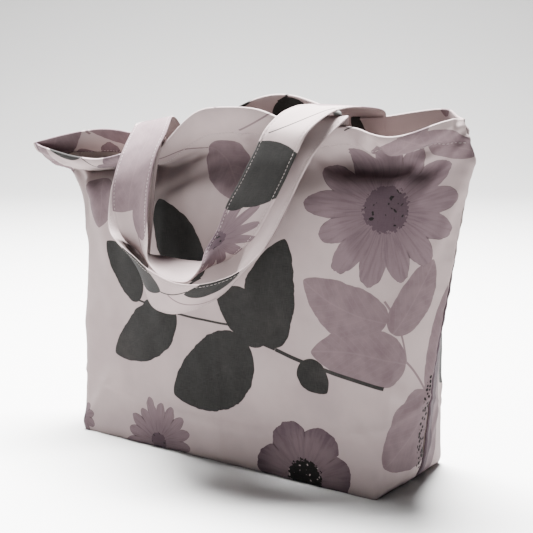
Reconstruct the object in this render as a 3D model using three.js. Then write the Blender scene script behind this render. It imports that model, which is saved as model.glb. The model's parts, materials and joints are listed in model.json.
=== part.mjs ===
// Foldable cotton tote bag, standing open, with both flat handles hanging over its front.
//
// Frame: millimetres, +Z up, the origin at the centre of the flat base.
// The front panel faces -Y, and +X runs to the right along the base's long side.
//
// The body is two cloth panels. Each one wraps half of both sides and half of the base,
// and they meet at the two side seams and at the base seam. A place on the cloth is given
// by two numbers: "around" runs round the bag (0 front centre, 1 right side seam, 2 back
// centre, 3 left side seam) and "up" is the distance up the cloth from the base edge.

import * as THREE from 'three';

// ---------------------------------------------------------------- driving dimensions (mm)

const baseWidth = 300;
const baseDepth = 108;
const clothHeight = 290;
const baseCornerRadius = 6;
const clothThickness = 1.2;
const hemDepth = 25;
const hemThickness = 1;
const strapWidth = 40;
const strapThickness = 1.8;
const seamAllowance = 9;
const seamThickness = 1.2;
const seamGap = 1;
const sideSeamStandoff = 5;
const rightSeamTop = 250;
const leftSeamTop = 205;
const cornerSeamInset = 3;
const cornerSeamGap = 2;
const baseSeamOffset = 6;
const strapStandoff = 1.6;
const sewnTop = 3;
const swingClearance = 3.4;
const gap = 0.3;

const halfWidth = baseWidth / 2;
const halfDepth = baseDepth / 2;
const halfRound = halfWidth + halfDepth;
const hemFoot = clothHeight - hemDepth;
const hemBack = clothThickness + gap + hemThickness;

// ---------------------------------------------------------------- materials

function cloth(color) {
  return new THREE.MeshStandardMaterial({ color, roughness: 0.85, metalness: 0 });
}

const printedCotton = 0xb5a7a6;
const facingCotton = 0x8f8280;
const seamCotton = 0x77706a;
const strapCotton = 0xc8bab9;

// ---------------------------------------------------------------- shape of the standing bag

// One quarter of the base outline, from the front centre (x 0, y halfDepth) round the
// corner to the side seam (x halfWidth, y 0). The share runs from 0 to 1 along it.
function baseQuarter(share) {
  const straight = halfWidth - baseCornerRadius;
  const bend = (Math.PI / 2) * baseCornerRadius;
  const side = halfDepth - baseCornerRadius;
  const along = share * (straight + bend + side);
  if (along <= straight) {
    return [along, halfDepth];
  }
  if (along <= straight + bend) {
    const angle = (along - straight) / baseCornerRadius;
    const x = straight + baseCornerRadius * Math.sin(angle);
    const y = side + baseCornerRadius * Math.cos(angle);
    return [x, y];
  }
  return [halfWidth, side - (along - straight - bend)];
}

// The same quarter at the mouth: half of a lens that comes to a point at the side seam.
function mouthQuarter(share) {
  return [halfRound * share, halfDepth * Math.cos((Math.PI / 2) * share)];
}

// How far the section has changed from the base outline to the lens at a height. The
// sides spring out quickly over the first few millimetres, then slowly up to the mouth.
function lensShare(up) {
  const springHeight = 24;
  const springShare = 0.15;
  const sprung = Math.min(1, up / springHeight);
  const climbed = Math.pow(up / clothHeight, 1.4);
  return springShare * sprung * (2 - sprung) + (1 - springShare) * climbed;
}

// Folds of the slack cloth. Each one moves the cloth round a centre, and fades out over a
// width round the bag and a height up the cloth.
const folds = [
  // the front panel caves in under the hem
  { around: -0.5, up: 250, width: 0.4, height: 22, move: [0, 32, 0] },
  { around: 0.18, up: 250, width: 0.36, height: 20, move: [0, 18, 0] },
  { around: 0.66, up: 252, width: 0.2, height: 18, move: [-4, 11, 0] },
  // its rim leans out, and drops where the handles lie over it
  { around: -0.62, up: 294, width: 0.36, height: 46, move: [0, -8, -50] },
  { around: -0.28, up: 294, width: 0.15, height: 40, move: [0, -4, -22] },
  { around: 0.05, up: 294, width: 0.13, height: 30, move: [0, -4, -3] },
  { around: 0.43, up: 294, width: 0.2, height: 34, move: [0, -8, -19] },
  { around: 0.78, up: 294, width: 0.16, height: 30, move: [2, -12, -7] },
  // the left side seam flops over outwards and forwards
  { around: 3, up: 294, width: 0.26, height: 58, move: [-14, -26, -24] },
  { around: 2.8, up: 294, width: 0.24, height: 60, move: [-4, -2, -6] },
  // the right side seam folds in at its top
  { around: 1, up: 294, width: 0.12, height: 26, move: [-16, 0, -9] },
  // the back rim is drawn forwards where its handle is sewn on
  { around: 2.46, up: 294, width: 0.3, height: 80, move: [0, -40, -34] },
  { around: 2.05, up: 294, width: 0.2, height: 60, move: [0, -14, 6] },
  { around: 1.52, up: 294, width: 0.3, height: 80, move: [0, -42, -12] },
];

function distanceRound(a, b) {
  const lap = 4;
  const distance = Math.abs(a - b) % lap;
  return Math.min(distance, lap - distance);
}

// The outside of the cloth.
function bagPoint(around, up) {
  const onBack = around > 1;
  const across = onBack ? 2 - around : around;
  const share = Math.min(1, Math.abs(across));
  const lens = lensShare(up);
  const [lowX, lowY] = baseQuarter(share);
  const [highX, highY] = mouthQuarter(share);
  const x = lowX + (highX - lowX) * lens;
  const y = lowY + (highY - lowY) * lens;
  const point = new THREE.Vector3(Math.sign(across) * x, onBack ? y : -y, up);
  for (const fold of folds) {
    const aside = distanceRound(around, fold.around) / fold.width;
    const above = (up - fold.up) / fold.height;
    const weight = Math.exp(-aside * aside - above * above);
    point.addScaledVector(new THREE.Vector3(...fold.move), weight);
  }
  return point;
}

// The direction into the bag, square to the cloth, taken over a short stretch of it so
// that it turns smoothly past a side seam.
function inward(around, up) {
  const stretch = 0.03;
  const rise = 5;
  const left = around - stretch < -1 ? around - stretch + 4 : around - stretch;
  const right = around + stretch > 3 ? around + stretch - 4 : around + stretch;
  const lower = Math.max(0, up - rise);
  const upper = Math.min(clothHeight, up + rise);
  const across = bagPoint(right, up).sub(bagPoint(left, up));
  const tall = bagPoint(around, upper).sub(bagPoint(around, lower));
  return tall.cross(across).normalize();
}

function inside(around, up, depth) {
  return bagPoint(around, up).addScaledVector(inward(around, up), depth);
}

// ---------------------------------------------------------------- solids from point grids

function steps(from, to, count) {
  return Array.from({ length: count + 1 }, (_, i) => from + ((to - from) * i) / count);
}

class Shell {
  positions = [];

  triangle(...corners) {
    corners.forEach((p) => this.positions.push(p.x, p.y, p.z));
  }

  quad(a, b, c, d) {
    this.triangle(a, b, c);
    this.triangle(a, c, d);
  }

  // Two skins of the same grid, rows by columns. The near skin faces out, and its
  // columns run to the right and its rows up when it is seen from there.
  skins(near, far) {
    for (let r = 0; r + 1 < near.length; r += 1) {
      for (let c = 0; c + 1 < near[r].length; c += 1) {
        this.quad(near[r][c], near[r][c + 1], near[r + 1][c + 1], near[r + 1][c]);
        this.quad(far[r][c], far[r + 1][c], far[r + 1][c + 1], far[r][c + 1]);
      }
    }
  }

  // The edges that join two skins at their left and right ends.
  ends(near, far) {
    const last = near[0].length - 1;
    for (let r = 0; r + 1 < near.length; r += 1) {
      this.quad(near[r][0], near[r + 1][0], far[r + 1][0], far[r][0]);
      this.quad(near[r + 1][last], near[r][last], far[r][last], far[r + 1][last]);
    }
  }

  topEdge(near, far) {
    for (let c = 0; c + 1 < near.length; c += 1) {
      this.quad(near[c], near[c + 1], far[c + 1], far[c]);
    }
  }

  bottomEdge(near, far) {
    for (let c = 0; c + 1 < near.length; c += 1) {
      this.quad(near[c + 1], near[c], far[c], far[c + 1]);
    }
  }

  geometry() {
    const geometry = new THREE.BufferGeometry();
    const attribute = new THREE.Float32BufferAttribute(this.positions, 3);
    geometry.setAttribute('position', attribute);
    geometry.computeVertexNormals();
    return geometry;
  }
}

function slab(near, far) {
  const shell = new Shell();
  shell.skins(near, far);
  shell.ends(near, far);
  shell.topEdge(near.at(-1), far.at(-1));
  shell.bottomEdge(near[0], far[0]);
  return shell.geometry();
}

const bag = new THREE.Group();

function add(name, geometry, color) {
  const mesh = new THREE.Mesh(geometry, cloth(color));
  mesh.name = name;
  bag.add(mesh);
}

// ---------------------------------------------------------------- front and back panels

const panelColumns = 36;
const panelRows = [0, 7, 24, 60, 105, 150, 182, 205, 220, 231, 242, 253, 265, 278, 290];

function panelArounds(middle) {
  const trim = seamGap / 2 / halfRound;
  return steps(middle - 1 + trim, middle + 1 - trim, panelColumns);
}

// A panel is its wall, from one side seam to the other, and its half of the base, which
// is a fan from the middle of the base seam. That seam runs a little behind the middle of
// the bag, so the front panel's half is the wider one.
function panel(middle) {
  const arounds = panelArounds(middle);
  const place = (around, up, depth) => {
    const point = inside(around, up, depth);
    const onSeam = around === arounds[0] || around === arounds.at(-1);
    if (onSeam) {
      point.y += (middle === 0 ? -seamGap : seamGap) / 2;
    }
    if (up === 0) {
      point.z = depth;
      point.y += onSeam ? baseSeamOffset : 0;
    }
    return point;
  };
  const skin = (depth) => panelRows.map((up) => arounds.map((a) => place(a, up, depth)));
  const outer = skin(0);
  const inner = skin(clothThickness);
  const shell = new Shell();
  shell.skins(outer, inner);
  shell.ends(outer, inner);
  shell.topEdge(outer.at(-1), inner.at(-1));
  const under = outer[0];
  const over = inner[0];
  const below = new THREE.Vector3(0, under[0].y, 0);
  const above = new THREE.Vector3(0, over[0].y, clothThickness);
  for (let i = 0; i < panelColumns; i += 1) {
    shell.triangle(under[i], below, under[i + 1]);
    shell.triangle(over[i], over[i + 1], above);
  }
  shell.quad(under[0], over[0], above, below);
  shell.quad(below, above, over[panelColumns], under[panelColumns]);
  return shell.geometry();
}

add('front_panel', panel(0), printedCotton);
add('back_panel', panel(2), printedCotton);

// ---------------------------------------------------------------- hems

// The rim is turned in and stitched down, which leaves a band of cloth inside the mouth.
// It stops short of the side seams.
function hem(middle) {
  const arounds = panelArounds(middle).slice(1, -1);
  const rows = panelRows.filter((up) => up >= hemFoot);
  const skin = (depth) => rows.map((up) => arounds.map((around) => inside(around, up, depth)));
  return slab(skin(clothThickness + gap), skin(hemBack));
}

add('front_hem', hem(0), facingCotton);
add('back_hem', hem(2), facingCotton);

// ---------------------------------------------------------------- seam allowances inside

const sideSeamRows = [10, 40, 80, 120, 160, 190, 205, 220, 235, 250];

// The raw edges of a side seam stand inwards from it, from the corner seam to its top,
// which is lower on the left because the seam flops over there.
function sideSeam(around, top) {
  const root = clothThickness + sideSeamStandoff;
  const rows = sideSeamRows.filter((up) => up <= top);
  const half = new THREE.Vector3(0, seamThickness / 2, 0);
  const edge = (up, depth, sign) => inside(around, up, depth).addScaledVector(half, sign);
  const order = around === 1 ? [1, -1] : [-1, 1];
  const skin = (depth) => rows.map((up) => order.map((sign) => edge(up, depth, -sign)));
  return slab(skin(root), skin(root + seamAllowance));
}

add('right_side_seam', sideSeam(1, rightSeamTop), seamCotton);
add('left_side_seam', sideSeam(3, leftSeamTop), seamCotton);

// The allowances of the base seam and of the two corner seams lie flat on the base.
function flatSeam(width, depth, x, y) {
  const geometry = new THREE.BoxGeometry(width, depth, seamThickness);
  return geometry.translate(x, y, clothThickness + gap + seamThickness / 2);
}

const cornerSeamX = halfWidth - clothThickness - cornerSeamInset - seamAllowance / 2;
const cornerSeamLength = baseDepth - 4 * baseCornerRadius;
const baseSeamLength = 2 * (cornerSeamX - seamAllowance / 2 - cornerSeamGap);
const baseSeam = flatSeam(baseSeamLength, seamAllowance, 0, baseSeamOffset);
add('base_seam', baseSeam, seamCotton);
for (const [side, sign] of [['right', 1], ['left', -1]]) {
  const cornerSeam = flatSeam(seamAllowance, cornerSeamLength, sign * cornerSeamX, 0);
  add(`${side}_corner_seam`, cornerSeam, seamCotton);
}

// ---------------------------------------------------------------- handles

// Each handle is one flat strap. Its two ends are sewn to the inside of the hem, and the
// free loop between them turns over the front rim and hangs down. The back handle's strap
// runs forwards across the mouth first. A strap is cut into nodes where it bends when the
// handle is lifted: at its sewn ends, and on the back handle also at the front rim.
const strapSink = hemBack + strapStandoff;
const sewnLength = hemDepth - 4;
const sewnPlaces = {
  front_handle: { left: -0.335, right: 0.452 },
  back_handle: { left: 2.48, right: 1.492 },
};
const strapReach = strapWidth / 2 / halfRound;

function sewnEnd(around) {
  const arounds = steps(around - strapReach, around + strapReach, 4);
  const rows = steps(clothHeight - sewnLength, clothHeight - sewnTop, 2);
  const skin = (depth) => rows.map((up) => arounds.map((a) => inside(a, up, depth)));
  return slab(skin(strapSink), skin(strapSink + strapThickness));
}

for (const [handle, places] of Object.entries(sewnPlaces)) {
  for (const [side, around] of Object.entries(places)) {
    add(`${handle}_${side}_end`, sewnEnd(around), strapCotton);
  }
}

// The corner of a strap where it leaves a sewn end, just above that end.
function strapRoot(around) {
  const point = inside(around, clothHeight, strapSink + strapThickness / 2);
  return point.add(new THREE.Vector3(0, 0, swingClearance));
}

// Where the strap lies on the front rim.
function overRim(around) {
  const lift = new THREE.Vector3(0, -1, strapThickness / 2 + strapStandoff);
  return bagPoint(around, clothHeight).add(lift);
}

function points(list) {
  return list.map((place) => new THREE.Vector3(...place));
}

// A loop's two edges. At the bottom of the loop the front edge is the one that stands
// out from the panel, and the rear edge the one that is next to it.
const frontPlaces = sewnPlaces.front_handle;
const frontLoop = {
  front: [
    strapRoot(frontPlaces.left - strapReach),
    overRim(frontPlaces.left - strapReach),
    ...points([
      [-92, -66, 225], [-96, -68, 205], [-91, -75, 187], [-73, -87, 179], [-48, -96, 171],
      [-26, -102, 163], [6, -105, 156], [33, -101, 159], [53, -90, 169], [66, -79, 185],
      [77, -71, 209], [88, -66, 235], [100, -61, 258],
    ]),
    overRim(frontPlaces.right + strapReach),
    strapRoot(frontPlaces.right + strapReach),
  ],
  rear: [
    strapRoot(frontPlaces.left + strapReach),
    overRim(frontPlaces.left + strapReach),
    ...points([
      [-53, -58, 235], [-56, -59, 209], [-58, -60, 184], [-60, -61, 163], [-56, -70, 143],
      [-41, -82, 130], [-16, -88, 127], [8, -83, 134], [25, -71, 148], [33, -63, 170],
      [39, -60, 198], [49, -59, 232], [61, -57, 258],
    ]),
    overRim(frontPlaces.right - strapReach),
    strapRoot(frontPlaces.right - strapReach),
  ],
};

const backPlaces = sewnPlaces.back_handle;
const backLoop = {
  front: [
    strapRoot(backPlaces.left - strapReach),
    ...points([
      [-58, -32, 274], [-46, -54, 264], [-45, -69, 245], [-44, -78, 222], [-41, -85, 201],
      [-36, -91, 183], [-31, -97, 168], [-20, -97, 158], [-4, -95, 154], [9, -97, 157],
      [17, -94, 167], [14, -83, 179], [20, -77, 193], [28, -75, 213], [39, -71, 234],
      [49, -68, 254], [57, -62, 273], [66, -40, 286],
    ]),
    strapRoot(backPlaces.right + strapReach),
  ],
  rear: [
    strapRoot(backPlaces.left + strapReach),
    ...points([
      [-96, -34, 266], [-84, -62, 250], [-82, -76, 230], [-81, -81, 209], [-77, -81, 191],
      [-70, -77, 177], [-60, -69, 168], [-45, -64, 166], [-26, -63, 165], [-6, -62, 165],
      [16, -65, 168], [42, -75, 181], [57, -77, 194], [68, -76, 212], [79, -74, 233],
      [88, -73, 251], [96, -68, 270], [106, -42, 285],
    ]),
    strapRoot(backPlaces.right - strapReach),
  ],
};

// A stretch of strap along two matching edges. It starts and ends at the given points of
// their lists, which may lie between two of them.
function strap(edges, start, end, sections) {
  const sample = 0.1;
  const last = edges.front.length - 1;
  const front = new THREE.CatmullRomCurve3(edges.front, false, 'centripetal');
  const rear = new THREE.CatmullRomCurve3(edges.rear, false, 'centripetal');
  const pair = (index) => {
    const share = Math.min(1, Math.max(0, index / last));
    return [front.getPoint(share), rear.getPoint(share)];
  };
  const middle = (index) => {
    const [a, b] = pair(index);
    return a.add(b).divideScalar(2);
  };
  const skins = { near: [], far: [] };
  for (const index of steps(start, end, sections)) {
    const [a, b] = pair(index);
    const along = middle(index + sample).sub(middle(index - sample));
    const square = along.cross(a.clone().sub(b)).normalize();
    const half = square.multiplyScalar(strapThickness / 2);
    skins.near.push([a.clone().add(half), b.clone().add(half)]);
    skins.far.push([a.clone().sub(half), b.clone().sub(half)]);
  }
  return slab(skins.near, skins.far);
}

const frontLast = frontLoop.front.length - 1;
const backLast = backLoop.front.length - 1;
const bend = 1;
const bendClearance = 0.1;
const runSections = 4;
const frontSections = 60;
const backSections = 56;
const leftRun = strap(backLoop, 0, bend, runSections);
const rightRun = strap(backLoop, backLast - bend, backLast, runSections);
const backHang = [bend + bendClearance, backLast - bend - bendClearance];
add('front_handle_loop', strap(frontLoop, 0, frontLast, frontSections), strapCotton);
add('back_handle_left_run', leftRun, strapCotton);
add('back_handle_right_run', rightRun, strapCotton);
add('back_handle_loop', strap(backLoop, ...backHang, backSections), strapCotton);

export default bag;
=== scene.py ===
# Foldable cotton tote bag: the looks round the CAD frame.
# The bag's shape is the CAD's own formula, repeated here on a much finer grid in
# millimetres, with the stitches, creases and puckers that the CAD leaves out.

import json
import math

import bmesh
import bpy
import numpy as np
from mathutils import Matrix, Vector


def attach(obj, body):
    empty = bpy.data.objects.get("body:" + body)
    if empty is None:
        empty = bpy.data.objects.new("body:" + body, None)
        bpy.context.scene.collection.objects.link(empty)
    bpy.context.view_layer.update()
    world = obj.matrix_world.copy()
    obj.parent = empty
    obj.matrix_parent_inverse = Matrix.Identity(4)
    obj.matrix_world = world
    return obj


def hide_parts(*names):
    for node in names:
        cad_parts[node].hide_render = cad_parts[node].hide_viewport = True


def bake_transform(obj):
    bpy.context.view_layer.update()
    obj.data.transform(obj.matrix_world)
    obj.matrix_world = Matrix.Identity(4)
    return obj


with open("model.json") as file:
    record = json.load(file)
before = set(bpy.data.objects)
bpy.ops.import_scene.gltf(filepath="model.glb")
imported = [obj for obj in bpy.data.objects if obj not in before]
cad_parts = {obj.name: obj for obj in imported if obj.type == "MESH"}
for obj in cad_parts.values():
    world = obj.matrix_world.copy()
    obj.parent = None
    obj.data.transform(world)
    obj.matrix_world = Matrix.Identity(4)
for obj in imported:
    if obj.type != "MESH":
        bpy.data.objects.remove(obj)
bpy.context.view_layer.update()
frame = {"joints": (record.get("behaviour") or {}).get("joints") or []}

MM = 0.001


def add_object(name, data):
    obj = bpy.data.objects.new(name, data)
    bpy.context.scene.collection.objects.link(obj)
    return obj


# ---- camera

CAMERA_PLACE = (0.56403, -0.78381, 0.33063)
CAMERA_AZIMUTH = math.radians(35.16)
CAMERA_DOWN = math.radians(10.45)
SENSOR = 36.0
PICTURE = 533
FOCAL_PIXELS = 1200


def make_camera():
    data = bpy.data.cameras.new("camera")
    data.sensor_width = SENSOR
    data.lens = FOCAL_PIXELS * SENSOR / PICTURE
    camera = add_object("camera", data)
    camera.location = CAMERA_PLACE
    camera.rotation_euler = (math.pi / 2 - CAMERA_DOWN, 0, CAMERA_AZIMUTH)
    bpy.context.scene.camera = camera


make_camera()

# ---- dimensions (mm)

BASE_WIDTH = 300
BASE_DEPTH = 108
CLOTH_HEIGHT = 290
BASE_CORNER = 6
HALF_WIDTH = BASE_WIDTH / 2
HALF_DEPTH = BASE_DEPTH / 2
HALF_ROUND = HALF_WIDTH + HALF_DEPTH
BASE_SEAM_Y = 6
SEAM_GAP = 0.12
CLOTH = 1.0
HEM_DEPTH = 25
HEM_FOOT = CLOTH_HEIGHT - HEM_DEPTH
HEM_BACK = 2.4
STRAP_WIDTH = 40
STRAP_THICKNESS = 1.8
STRAP_SINK = 4.1
STRAP_REACH = STRAP_WIDTH / 2 / HALF_ROUND
SWING_CLEARANCE = 3.4
SEWN_LENGTH = HEM_DEPTH - 4
SEAM_ALLOWANCE = 9
SEAM_TAPER = 2.5
LAP = 4
# The section changes a little just above the base, and the rest along a curve.
BASE_SPRING = 24
BASE_CHANGE = 0.15
CLIMB = 1.4

# ---- shape of the bag

# Folds of the slack cloth: where round the bag and up the cloth, how wide and high, and
# how far the cloth moves in x, y and z.
FOLDS = (
    (-0.5, 250, 0.4, 22, (0, 32, 0)),
    (0.18, 250, 0.36, 20, (0, 18, 0)),
    (0.66, 252, 0.2, 18, (-4, 11, 0)),
    (-0.62, 294, 0.36, 46, (0, -8, -50)),
    (-0.28, 294, 0.15, 40, (0, -4, -22)),
    (0.05, 294, 0.13, 30, (0, -4, -3)),
    (0.43, 294, 0.2, 34, (0, -8, -19)),
    (0.78, 294, 0.16, 30, (2, -12, -7)),
    (3, 294, 0.26, 58, (-14, -26, -24)),
    (2.8, 294, 0.24, 60, (-4, -2, -6)),
    (1, 294, 0.12, 26, (-16, 0, -9)),
    (2.46, 294, 0.3, 80, (0, -40, -34)),
    (2.05, 294, 0.2, 60, (0, -14, 6)),
    (1.52, 294, 0.3, 80, (0, -42, -12)),
)


def base_quarter(share):
    """A quarter of the base outline, from the front centre to the side seam."""
    straight = HALF_WIDTH - BASE_CORNER
    bend = math.pi / 2 * BASE_CORNER
    side = HALF_DEPTH - BASE_CORNER
    along = share * (straight + bend + side)
    angle = np.clip((along - straight) / BASE_CORNER, 0, math.pi / 2)
    x = np.minimum(along, straight) + BASE_CORNER * np.sin(angle)
    y = side + BASE_CORNER * np.cos(angle) - np.maximum(along - straight - bend, 0)
    return x, y


def lens_share(up):
    """How far the section has changed from the base outline to the mouth's lens."""
    sprung = np.clip(up / BASE_SPRING, 0, 1)
    climbed = np.clip(up / CLOTH_HEIGHT, 0, None) ** CLIMB
    return BASE_CHANGE * sprung * (2 - sprung) + (1 - BASE_CHANGE) * climbed


def round_gap(a, b):
    """The shorter way round the bag between two places."""
    gap = np.abs(a - b) % LAP
    return np.minimum(gap, LAP - gap)


def bag_point(around, up):
    """Points on the outside of the cloth, in millimetres."""
    around, up = np.broadcast_arrays(np.asarray(around, float), np.asarray(up, float))
    around = (around + 1) % LAP - 1
    on_back = around > 1
    across = np.where(on_back, 2 - around, around)
    share = np.minimum(1, np.abs(across))
    lens = lens_share(up)
    low_x, low_y = base_quarter(share)
    high_x = HALF_ROUND * share
    high_y = HALF_DEPTH * np.cos(math.pi / 2 * share)
    x = np.sign(across) * (low_x + (high_x - low_x) * lens)
    y = (low_y + (high_y - low_y) * lens) * np.where(on_back, 1, -1)
    point = np.stack([x, y, up], axis=-1)
    for middle, height, width, tall, move in FOLDS:
        aside = round_gap(around, middle) / width
        above = (up - height) / tall
        weight = np.exp(-aside * aside - above * above)
        point = point + weight[..., None] * np.array(move, float)
    return point


def inward(around, up):
    """The direction into the bag, square to the cloth."""
    stretch = 0.03
    rise = 5
    across = bag_point(around + stretch, up) - bag_point(around - stretch, up)
    upper = np.minimum(CLOTH_HEIGHT, up + rise)
    lower = np.maximum(0, up - rise)
    tall = bag_point(around, upper) - bag_point(around, lower)
    normal = np.cross(tall, across)
    return normal / np.linalg.norm(normal, axis=-1, keepdims=True)


# ---- fine relief of the cloth

def bump(distance, width):
    """1 at no distance, falling off smoothly within a width or two."""
    return np.exp(-((distance / width) ** 2))


def rise(value, start, reach):
    """0 up to start and 1 from a reach beyond it, straight between them."""
    return np.clip((value - start) / reach, 0, 1)


def line_distance(u, v, start, end):
    """Distance from a line on the flat cloth, and the share along it."""
    a = np.array(start, float)
    d = np.array(end, float) - a
    length = np.hypot(*d)
    d = d / length
    along = (u - a[0]) * d[0] + (v - a[1]) * d[1]
    aside = -(u - a[0]) * d[1] + (v - a[1]) * d[0]
    beyond = np.maximum(0, np.maximum(-along, along - length))
    return np.hypot(aside, beyond * 0.6), along / length


# Creases on the flat cloth (mm from the front centre, mm up): start, end, height, width.
FRONT_CREASES = (
    ((6, 6), (0, 112), 0.5, 2.6),
    ((-60, 120), (-52, 225), 0.8, 9),
    ((108, 246), (160, 244), -7, 9),
    ((132, 282), (138, 254), -2.6, 4),
    ((138, 254), (164, 261), -2.8, 4.5),
    ((164, 261), (188, 272), -2.2, 4),
    ((122, 276), (128, 256), 2.2, 5),
    ((146, 272), (176, 280), 2.6, 6),
    ((196, 282), (150, 236), 2.8, 6),
    ((198, 270), (168, 226), 2.2, 5),
    ((190, 262), (150, 240), 2.0, 5),
    ((202, 250), (186, 190), 1.8, 6),
    ((-196, 262), (-150, 214), 3.4, 8),
    ((-190, 236), (-160, 176), 2.8, 8),
    ((-176, 272), (-110, 246), 2.4, 7),
    ((-150, 214), (-120, 150), 1.6, 10),
    ((-64, 256), (-31, 252), -2.2, 5),
    ((-31, 252), (30, 258), -2.0, 5),
    ((60, 262), (96, 236), 1.9, 7),
    ((20, 262), (2, 222), 1.8, 7),
    ((-20, 236), (-80, 206), -2.2, 9),
    ((10, 214), (34, 150), 0.9, 10),
    ((96, 228), (120, 180), 1.1, 10),
    ((150, 30), (120, 60), 0.8, 6),
    ((190, 60), (150, 86), 0.9, 8),
    ((-146, 10), (-120, 52), 0.9, 6),
    ((-180, 60), (-140, 110), 0.9, 9),
)
BACK_CREASES = (
    ((-4, 8), (2, 120), 0.5, 2.6),
    ((-196, 276), (-150, 226), 2.6, 7),
    ((-190, 250), (-120, 216), 2.0, 7),
    ((196, 280), (150, 230), 3.0, 7),
    ((190, 240), (160, 176), 2.4, 8),
    ((170, 262), (110, 236), 2.2, 7),
    ((-90, 262), (-60, 190), 2.0, 9),
    ((110, 262), (80, 196), 2.2, 9),
    ((30, 250), (10, 180), 1.6, 9),
    ((-30, 226), (40, 206), -1.6, 10),
    ((-140, 60), (-120, 120), 0.9, 8),
    ((150, 40), (110, 90), 1.0, 8),
    ((-190, 30), (-150, 70), 1.0, 6),
    ((186, 130), (170, 60), 1.2, 7),
)

# How strong and how sharp all the creases are, and how much lower each is at its end.
CREASE_HEIGHT = 1.55
CREASE_WIDTH = 0.75
CREASE_FADE = 0.3
# Waves of the cloth: height, length, turn, phase, and how strong they are low on the bag.
# They grow to their full height where the cloth is slack.
WAVES = (
    (0.8, 83, 0.5, 1.0, 0.35),
    (0.65, 57, -0.7, 2.1, 0.35),
    (0.26, 31, 0.25, 0.4, 1),
)
SLACK_FROM = 150
SLACK_REACH = 120
FINE_WAVE = 0.10
FINE_LENGTHS = (17, 23)
# The line pressed into the cloth above the base. It is higher towards the sides.
PRESS_UP = 33
PRESS_BEND = 0.0009
PRESS_HEIGHT = 1.1
# Towards its right end the front's rim stands out between two places.
FLAP_HEIGHT = 11
FLAP_LEFT = 112
FLAP_RIGHT = 202
FLAP_SLOPES = (18, 20)
FLAP_FOOT = 260
FLAP_RISE = 24
# That part of the rim also hangs lower.
DROOP = 13
DROOP_MIDDLE = 144
DROOP_WIDTH = 26
DROOP_FOOT = 226
# The row of stitches draws the cloth in and puckers it.
HEM_ROW = HEM_FOOT + 2.0
HEM_DRAW = 0.35
PUCKER = 0.28
PUCKER_LENGTHS = (13, 7.9)
LINE_WIDTH = 2.2
# So does a side seam.
SEAM_WAVE = 0.45
SEAM_WAVE_WIDTH = 14
SEAM_WAVE_LENGTHS = (15, 37)
SEAM_DRAW = 1.7
# The cloth turns in under itself where it meets the floor.
BASE_TUCK = 3.6
BASE_TUCK_HEIGHT = 9


def wave(u, v, length, turn, phase):
    """A straight wave over the flat cloth, from -1 to 1."""
    return np.sin(2 * math.pi * (u * math.cos(turn) + v * math.sin(turn)) / length + phase)


def relief(middle, u, v):
    """How far the cloth stands out of its smooth shape, in millimetres."""
    shift = 0.7 * middle
    out = np.zeros(np.broadcast(u, v).shape)
    slack = rise(v, SLACK_FROM, SLACK_REACH)
    for height, length, turn, phase, low in WAVES:
        out += height * (low + (1 - low) * slack) * wave(u, v, length, turn, phase + shift)
    fine = wave(u, v, FINE_LENGTHS[0], 1.2, 2.9 - shift) * wave(u, v, FINE_LENGTHS[1], -0.4, 0.2)
    out += FINE_WAVE * fine
    out += PRESS_HEIGHT * bump(v - PRESS_UP - PRESS_BEND * u * u, LINE_WIDTH)
    if middle == 0:
        flap = rise(u, FLAP_LEFT, FLAP_SLOPES[0]) * rise(-u, -FLAP_RIGHT, FLAP_SLOPES[1])
        out += FLAP_HEIGHT * flap * rise(v, FLAP_FOOT, FLAP_RISE)
    for start, end, height, width in FRONT_CREASES if middle == 0 else BACK_CREASES:
        distance, along = line_distance(u, v, start, end)
        fade = 1 - CREASE_FADE * np.clip(along, 0, 1)
        out += CREASE_HEIGHT * height * bump(distance, CREASE_WIDTH * width) * fade
    pucker = wave(u, 0 * v, PUCKER_LENGTHS[0], 0, 0.3)
    pucker = pucker * wave(u, 0 * v, PUCKER_LENGTHS[1], 0, 1.7 + shift)
    out += (PUCKER * pucker - HEM_DRAW) * bump(v - HEM_ROW, LINE_WIDTH)
    from_seam = HALF_ROUND - np.abs(u)
    seam_wave = wave(v, 0 * u, SEAM_WAVE_LENGTHS[0], 0, 0.5)
    seam_wave = seam_wave * wave(v, 0 * u, SEAM_WAVE_LENGTHS[1], 0, shift)
    out += SEAM_WAVE * seam_wave * bump(from_seam, SEAM_WAVE_WIDTH)
    out -= SEAM_DRAW * bump(from_seam, SEAM_DRAW)
    out -= BASE_TUCK * np.clip(1 - v / BASE_TUCK_HEIGHT, 0, 1) ** 2
    return out


def cloth_point(middle, around, up, depth):
    """A point on the finished cloth, a depth inside its outer face."""
    u = (around - middle) * HALF_ROUND
    out = relief(middle, u, up)
    taper = np.sqrt(np.clip((HALF_ROUND - SEAM_GAP / 2 - np.abs(u)) / SEAM_TAPER, 0, 1))
    point = bag_point(around, up)
    point = point + (depth * taper - out)[..., None] * inward(around, up)
    if middle == 0:
        hang = rise(up, DROOP_FOOT, CLOTH_HEIGHT - DROOP_FOOT) ** 2
        point[..., 2] -= DROOP * bump(u - DROOP_MIDDLE, DROOP_WIDTH) * hang
    edge = np.abs(np.abs(around - middle) - 1) < SEAM_GAP / HALF_ROUND
    point[..., 1] += np.where(edge, SEAM_GAP / 2 * (1 if middle else -1), 0)
    return point


# ---- mesh building

PRINT_MAP = "flat_cloth"
MERGE = 0.00001


def weld(data):
    """Merges points at the same place and turns every face outwards."""
    mesh = bmesh.new()
    mesh.from_mesh(data)
    bmesh.ops.remove_doubles(mesh, verts=mesh.verts, dist=MERGE)
    bmesh.ops.recalc_face_normals(mesh, faces=mesh.faces)
    mesh.to_mesh(data)
    mesh.free()
    data.update()


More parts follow.
